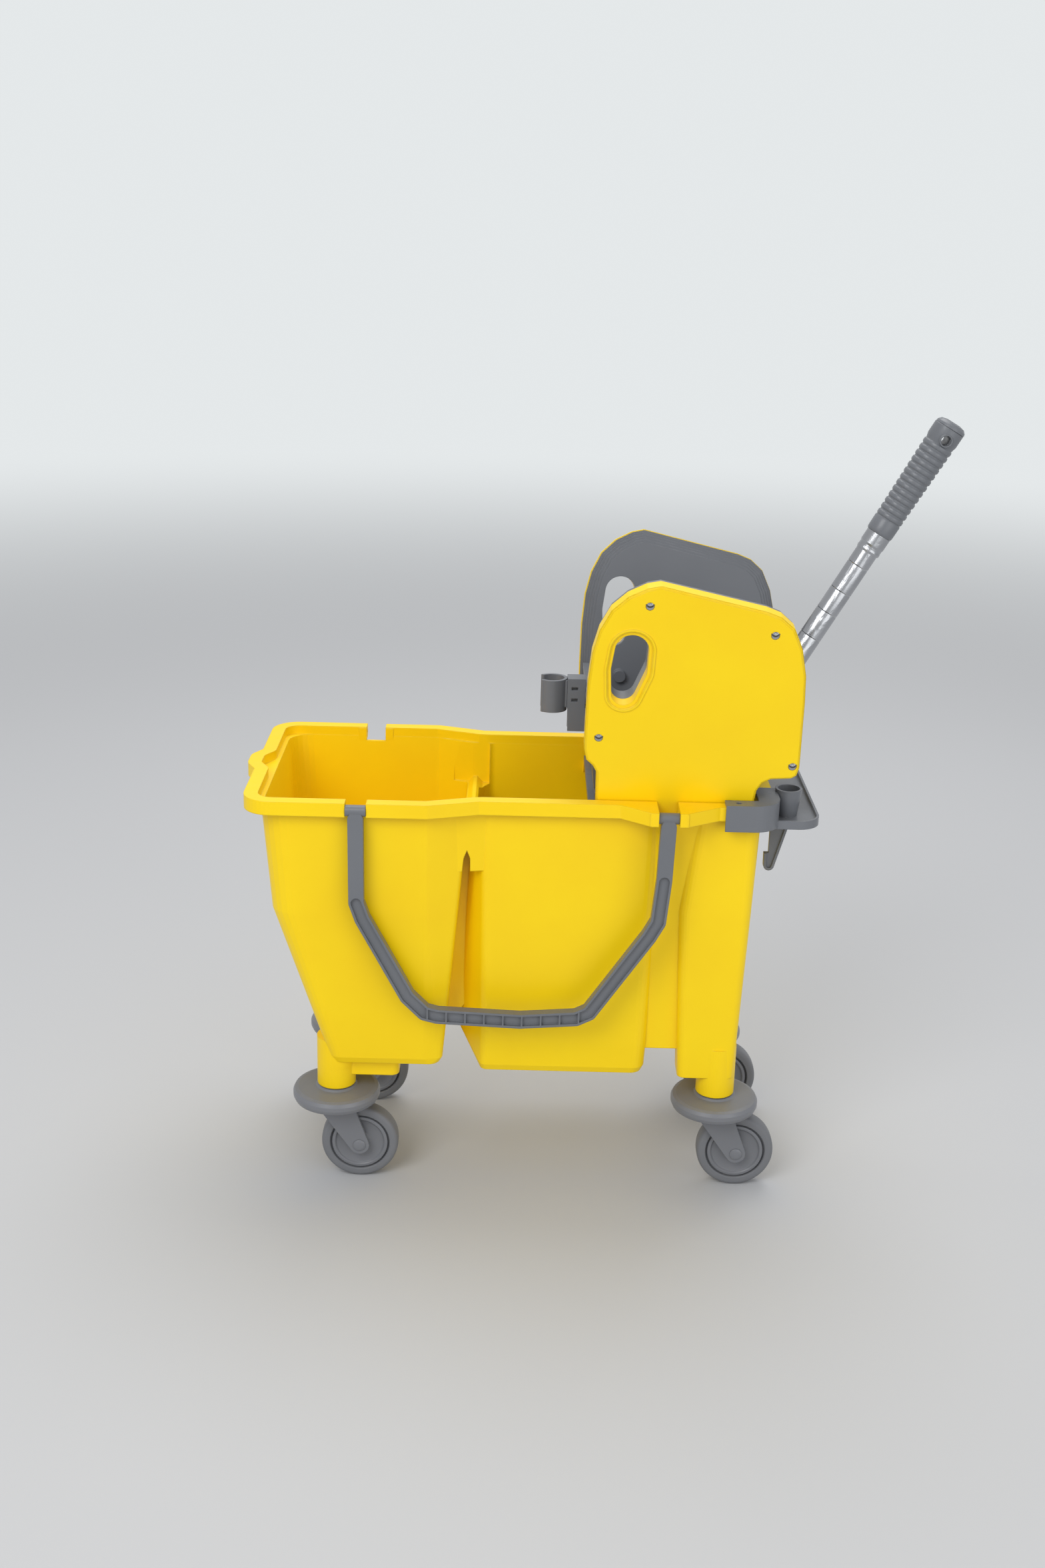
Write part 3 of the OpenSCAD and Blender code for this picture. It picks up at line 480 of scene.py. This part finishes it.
CORNERS = ("fn", "ff", "rn", "rf")  # front or rear, near or far
for corner in CORNERS:
    hub_centre = middle("tyre_" + corner)
    half = reach("tyre_" + corner, hub_centre, ALONG_Y)[1]
    outer = thickness("tyre_" + corner, 2) / 2
    core = thickness("hub_" + corner, 2) / 2
    tread = both_faces([
        (core, 0.0), (core, -half + 0.0040), (core + 0.0007, -half + 0.0036),
        (core + 0.0009, -half + 0.0008), (core + 0.0016, -half),
        (outer - 0.0044, -half), (outer - 0.0026, -half + 0.0004), (outer - 0.0012, -half + 0.0014),
        (outer - 0.0004, -half + 0.0030), (outer - 0.0001, -half + 0.0052), (outer, 0.0),
    ])
    made = bmesh.new()
    turned(made, tread, hub_centre, ALONG_Y, steps=96)
    finished(made, "tread_" + corner, tread_grey, body_under("tyre_" + corner), ["tyre_" + corner])
    face = both_faces([
        (0.0041, 0.0), (0.0041, -half + 0.0002), (0.0046, -half), (0.0082, -half),
        (0.0092, -half + 0.0004), (0.0098, -half + 0.0014), (0.0106, -half + 0.0024),
        (0.0122, -half + 0.0027), (core - 0.0062, -half + 0.0027), (core - 0.0050, -half + 0.0022),
        (core - 0.0043, -half + 0.0010), (core - 0.0036, -half + 0.0005), (core - 0.0018, -half + 0.0005),
        (core - 0.0010, -half + 0.0009), (core - 0.0006, -half + 0.0036), (core, -half + 0.0040), (core, 0.0),
    ])
    made = bmesh.new()
    turned(made, face, hub_centre, ALONG_Y, steps=96)
    finished(made, "core_" + corner, wheel_grey, body_under("hub_" + corner), ["hub_" + corner])
print("wheels measure", round(2000 * outer, 1), "mm across and", round(2000 * half, 1), "mm wide")

# %% [markdown]
# ## The axles
# The axle is a capped rivet in the casting's grey: a plain shank with a domed head on one side, and
# on the other a rolled head with a small dimple. The outline starts and ends on the axis, so the
# spun shape is closed.

# %% Axle rivets
for corner in CORNERS:
    pin_centre = middle("axle_" + corner)
    tip = reach("axle_" + corner, pin_centre, ALONG_Y)[1]
    seat = tip - 0.0018
    rivet = [
        (0.0, -tip), (0.0030, -tip + 0.0001), (0.0048, -tip + 0.0005), (0.0060, -tip + 0.0012),
        (0.0062, -seat), (0.0040, -seat), (0.0040, seat), (0.0062, seat), (0.0061, tip - 0.0012),
        (0.0052, tip - 0.0003), (0.0042, tip), (0.0031, tip - 0.0002), (0.0022, tip - 0.0010),
        (0.0, tip - 0.0014),
    ]
    made = bmesh.new()
    turned(made, rivet, pin_centre, ALONG_Y, steps=40)
    finished(made, "axle_rivet_" + corner, caster_grey, body_under("axle_" + corner), ["axle_" + corner])
print("axle rivets are", round(2000 * tip, 1), "mm long")

# %% [markdown]
# ## The return spring
# A torsion spring round the shaft lifts the lever. Spin sweeps a small circle of wire round the
# shaft, and its `dvec` moves every step a little sideways, which turns the sweep into a helix.

# %% Return spring
wire = 0.0013
turns, steps_per_turn = 5, 30
coil_radius = thickness("return_spring", 0) / 2 - wire
start = middle("return_spring")
start.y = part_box("return_spring")[0][1] + wire
pitch = (thickness("return_spring", 1) - 2 * wire) / turns
made = bmesh.new()
ring = bmesh.ops.create_circle(made, cap_ends=False, radius=wire, segments=10)
facing = Matrix.Translation(start + Vector((coil_radius, 0, 0)))
bmesh.ops.transform(made, matrix=facing, verts=ring["verts"])
bmesh.ops.spin(
    made, geom=made.verts[:] + made.edges[:], cent=start, axis=ALONG_Y, angle=math.tau * turns,
    steps=turns * steps_per_turn, dvec=Vector((0, pitch / steps_per_turn, 0)),
)
bmesh.ops.holes_fill(made, edges=[edge for edge in made.edges if edge.is_boundary])
finished(made, "spring_coil", zinc, body_under("return_spring"), ["return_spring"])
print("spring:", turns, "turns of", round(2000 * wire, 1), "mm wire")

# %% [markdown]
# ## The cover screws
# Each side cover is held by pan-head screws with a cross recess. The head is spun, then the points of
# its inner rings that lie between the four arms are drawn in towards the axis, which leaves a cross.
# Their places are read from the CAD node: each separate solid in it is one screw.

# %% Screw helpers
def separate_solids(node):
    """The points of each separate solid in a CAD node, found on a merged copy of its mesh."""
    made = bmesh.new()
    made.from_mesh(nodes[node].data)
    bmesh.ops.remove_doubles(made, verts=made.verts, dist=SAME_POINT)
    left, found = set(made.verts), []
    while left:
        waiting, group = [left.pop()], []
        while waiting:
            point = waiting.pop()
            group.append(point.co.copy())
            for line in point.link_edges:
                other = line.other_vert(point)
                if other in left:
                    left.remove(other)
                    waiting.append(other)
        found.append(group)
    made.free()
    return found


def end_of(points, axis):
    """Centre of the points that lie furthest along an axis."""
    far = max(point.dot(axis) for point in points)
    last = [point for point in points if point.dot(axis) > far - 2e-5]
    return sum(last, Vector()) / len(last)


def cross_head(made, top, axis, radius, height):
    """A pan head with a cross recess; its top centre is at top."""
    side = axis.orthogonal().normalized()
    across = axis.cross(side)
    inner = [(0.60 * radius, -0.04 * height), (0.50 * radius, -0.55 * height), (0.0, -0.62 * height)]
    outline = [(0.0, -height), (radius, -height), (radius, -0.55 * height), (0.93 * radius, -0.25 * height),
               (0.78 * radius, -0.08 * height)] + inner
    before = set(made.verts)
    turned(made, outline, top, axis, steps=32)
    for point in set(made.verts) - before:
        arm = point.co - top
        out, turn = arm - arm.dot(axis) * axis, math.atan2(arm.dot(across), arm.dot(side))
        from_arm = abs((turn + math.pi / 4) % (math.pi / 2) - math.pi / 4)
        if 0.2 * radius < out.length < 0.65 * radius and arm.dot(axis) < 0.5 * height and from_arm > 0.27:
            point.co -= 0.62 * out


# %% [markdown]
# ## Screw heads and their painted shade rings
# The covers lean inwards, so each screw points out along the cover's own slope. Round the head sits
# a thin ring a little wider than the head, in the dark nylon: its shape is the cover's seat, and its
# dark colour is painted shade of the recess round the screw.

# %% Cover screws
COVER_LEAN = math.radians(10.2)
screws = []
for points in separate_solids("cover_screws"):
    outwards = -1 if sum(point.y for point in points) < 0 else 1
    out_of_cover = Vector((0, outwards * math.cos(COVER_LEAN), math.sin(COVER_LEAN)))
    screws.append((end_of(points, out_of_cover), out_of_cover))
heads, shade_rings = bmesh.new(), bmesh.new()
# The ring round each head has the seat's shape; its dark colour is painted shade of the recess.
shade_ring_outline = [
    (0.0032, -0.0020), (0.0043, -0.0020), (0.0043, -0.0004), (0.0040, -0.0001), (0.0036, -0.0004),
    (0.0032, -0.0014), (0.0032, -0.0020),
]
for top, out_of_cover in screws:
    cross_head(heads, top, out_of_cover, radius=0.0034, height=0.0022)
    turned(shade_rings, shade_ring_outline, top, out_of_cover, steps=32)
finished(heads, "cover_screw_heads", zinc, body_under("cover_screws"), sharp=28)
# Dark nylon here paints the shade in the recess round each screw head.
finished(shade_rings, "cover_screw_shade_rings", dark_nylon, body_under("cover_screws"), sharp=28)
print("screws:", len(screws))

# %% [markdown]
# ## The grip
# The lever ends in a soft ribbed sleeve that widens a little towards its end, with a domed cap. The
# ribs are rounded in the mould, so each one is drawn as four points, and the shallow valley between
# two ribs as two more. The lever's own direction comes from its shaft and its end cap.

# %% Ribbed grip
shaft_centre = middle("cross_shaft")
shaft_centre.y = 0
lever_way = (middle("grip_cap") - shaft_centre).normalized()
grip_start, grip_end = reach("grip", shaft_centre, lever_way)
tube_radius, end_radius, hole_radius = 0.0105, 0.0146, 0.0045
outline = [(tube_radius, 0.0), (0.0118, 0.0), (0.0126, 0.0010), (0.0128, 0.0030), (0.0129, 0.0140)]
rib_count, rib_step = 13, 0.0062
for rib in range(rib_count):
    at, swell = 0.0160 + rib * rib_step, 0.0130 + rib * 0.00011
    outline += [
        (swell - 0.0010, at - 0.0003), (swell - 0.0003, at + 0.0002), (swell, at + 0.0010),
        (swell, at + 0.0033), (swell - 0.0003, at + 0.0041), (swell - 0.0010, at + 0.0047),
    ]
grip_length = grip_end - grip_start
outline += [
    (end_radius - 0.0004, 0.0988), (end_radius, 0.0998), (end_radius, grip_length - 0.0006),
    (end_radius - 0.0006, grip_length), (tube_radius, grip_length), (tube_radius, 0.0),
]
made = bmesh.new()
turned(made, outline, shaft_centre + grip_start * lever_way, lever_way, steps=56)
grip_piece = finished(made, "ribbed_grip", grey, body_under("grip"), ["grip"], sharp=40)
print("grip:", round(1000 * grip_length), "mm long with", rib_count, "ribs")

# %% [markdown]
# ## The hang hole
# A hole through the end of the grip lets the handle hang on a hook. Cutting a round hole in a round
# surface by hand would mean moving many points, so a Boolean modifier cuts it with a spun drill, its
# result becomes the grip's mesh, and the drill is removed. A raised eyelet lines each mouth.

# %% Hang hole and eyelets
hole_centre = shaft_centre + (grip_start + 0.101) * lever_way
drill_reach = 0.03
made = bmesh.new()
drill_outline = [
    (0.0, -drill_reach), (hole_radius, -drill_reach), (hole_radius, drill_reach), (0.0, drill_reach),
]
turned(made, drill_outline, hole_centre, ALONG_Y, steps=32)
drill = bpy.data.objects.new("drill", welded_mesh(made, "drill"))
scene.collection.objects.link(drill)
cut = grip_piece.modifiers.new("hang hole", "BOOLEAN")
cut.object, cut.operation, cut.solver = drill, "DIFFERENCE", "EXACT"
grip_result = grip_piece.evaluated_get(bpy.context.evaluated_depsgraph_get())
drilled = bpy.data.meshes.new_from_object(grip_result)
grip_piece.modifiers.clear()
grip_piece.data = drilled
bpy.data.objects.remove(drill)
made = bmesh.new()
eyelet = [
    (hole_radius, 0.0), (hole_radius, 0.0150), (0.0049, 0.0156), (0.0056, 0.0156), (0.0061, 0.0150),
    (0.0063, 0.0), (hole_radius, 0.0),
]
for mouth in (-1, 1):
    turned(made, eyelet, hole_centre, mouth * ALONG_Y, steps=40)
finished(made, "grip_eyelet", grey, body_under("grip"), sharp=40)
print("hang hole:", round(2000 * hole_radius), "mm across")

# %% [markdown]
# ## The lever tube
# The tube is wrapped in a bright skin that is crimped in a few places, so its outline has a shallow
# groove at each crimp. The wall is drawn too, so the open end under the grip is a real tube.

# %% Lever tube
tube_start, tube_end = reach("lever_tube", shaft_centre, lever_way)
tube_length = tube_end - tube_start
bore = tube_radius - 0.0015
outline = [(bore, 0.0), (tube_radius, 0.0)]
for below_grip in (0.112, 0.085, 0.062, 0.034):
    crimp = grip_start - tube_start - below_grip
    outline += [
        (tube_radius, crimp - 0.0010), (tube_radius - 0.0004, crimp),
        (tube_radius + 0.0001, crimp + 0.0008), (tube_radius, crimp + 0.0020),
    ]
outline += [(tube_radius, tube_length), (bore, tube_length), (bore, 0.0)]
made = bmesh.new()
turned(made, outline, shaft_centre + tube_start * lever_way, lever_way, steps=48)
finished(made, "wrapped_tube", bright_skin, body_under("lever_tube"), ["lever_tube"], sharp=30)
print("tube:", round(1000 * tube_length), "mm long")

# %% [markdown]
# ## The floor
# A plain pale floor, wide enough to reach the skyline. Far away the lamps no longer light it, so it
# would meet the wall in a dark band. Its finish therefore blends with distance into a plain glow of
# the wall's own colour, and the two meet without a line.

# %% Floor
FLOOR_RADIUS = 30
floor_mesh = bmesh.new()
bmesh.ops.create_circle(floor_mesh, cap_ends=True, radius=FLOOR_RADIUS, segments=96)
floor_data = bpy.data.meshes.new("floor")
floor_mesh.to_mesh(floor_data)
floor_mesh.free()
floor = bpy.data.objects.new("floor", floor_data)
scene.collection.objects.link(floor)
floor_finish = bpy.data.materials.new("pale floor")
floor_finish.use_nodes = True
tree = floor_finish.node_tree
spot = add_node(tree, "TexCoord").outputs["Object"]
away = add_node(tree, "VectorMath", {"operation": "LENGTH"}, i0=spot)
fade = add_node(
    tree, "MapRange", {"interpolation_type": "SMOOTHSTEP"},
    Value=away.outputs["Value"], From_Min=1.7, From_Max=4.8,
)
near_floor = tree.nodes["Principled BSDF"]
near_floor.inputs["Base Color"].default_value = (0.525, 0.53, 0.54, 1)
near_floor.inputs["Roughness"].default_value = 0.75
far_floor = add_node(tree, "Emission", Color=WALL_COLOUR, Strength=1.0)
meeting = add_node(
    tree, "MixShader",
    Fac=fade.outputs["Result"], i1=near_floor.outputs["BSDF"], i2=far_floor.outputs["Emission"],
)
tree.links.new(meeting.outputs["Shader"], tree.nodes["Material Output"].inputs["Surface"])
floor_data.materials.append(floor_finish)
print("floor reaches", FLOOR_RADIUS, "metres out")
